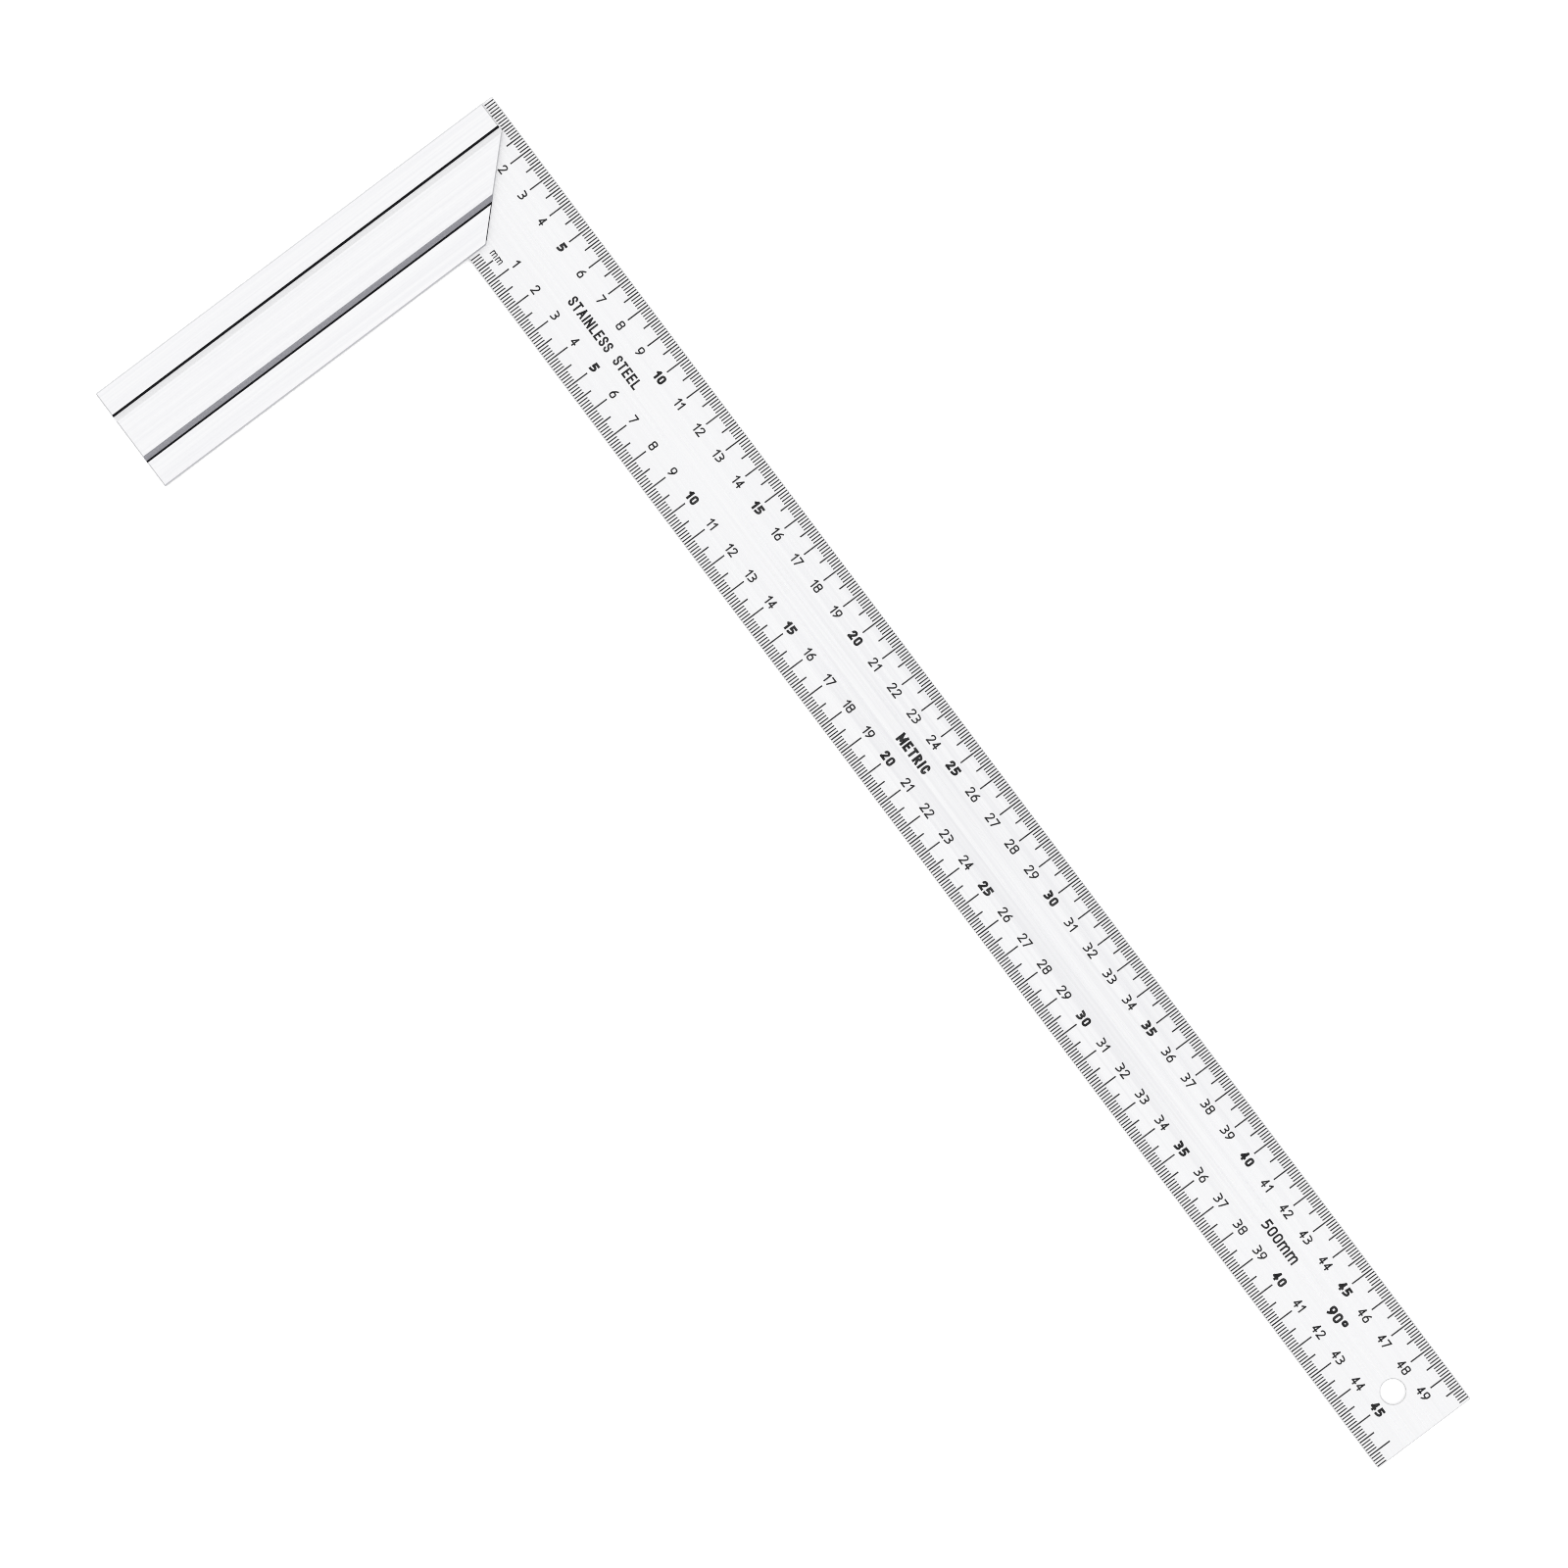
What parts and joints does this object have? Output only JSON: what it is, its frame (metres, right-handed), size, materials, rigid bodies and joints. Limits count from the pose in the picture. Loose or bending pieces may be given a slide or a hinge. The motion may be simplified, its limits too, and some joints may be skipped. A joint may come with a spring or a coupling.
{
  "type": "steel square ruler",
  "caption": "Flat L-shaped marking-out square: long graduated steel blade with a hanging hole, set at right angles in a ribbed aluminium stock mitred at the heel.",
  "frame": {"origin": "the outside corner of the heel: the blade's outer edge meets the stock's outer face, halfway through the blade's thickness; it is the zero of the outer scale", "axes": "+X along the blade from the heel to the tip, -Y down the stock from the heel to its free end, +Z out of the shown face"},
  "size_m": [0.5, 0.152, 0.0126],
  "materials": {
    "blade_steel": "satin, brushed along the blade's length",
    "stock_aluminium": "satin extruded, clear anodised",
    "pin_steel": "ground flush",
    "scale_ink": "matt black etched and filled lines"
  },
  "bodies": {
    "root": {"blade": "blade_steel", "stock": "stock_aluminium", "blade_pin_outer": "pin_steel", "blade_pin_centre": "pin_steel", "blade_pin_inner": "pin_steel"}
  },
  "joints": []
}
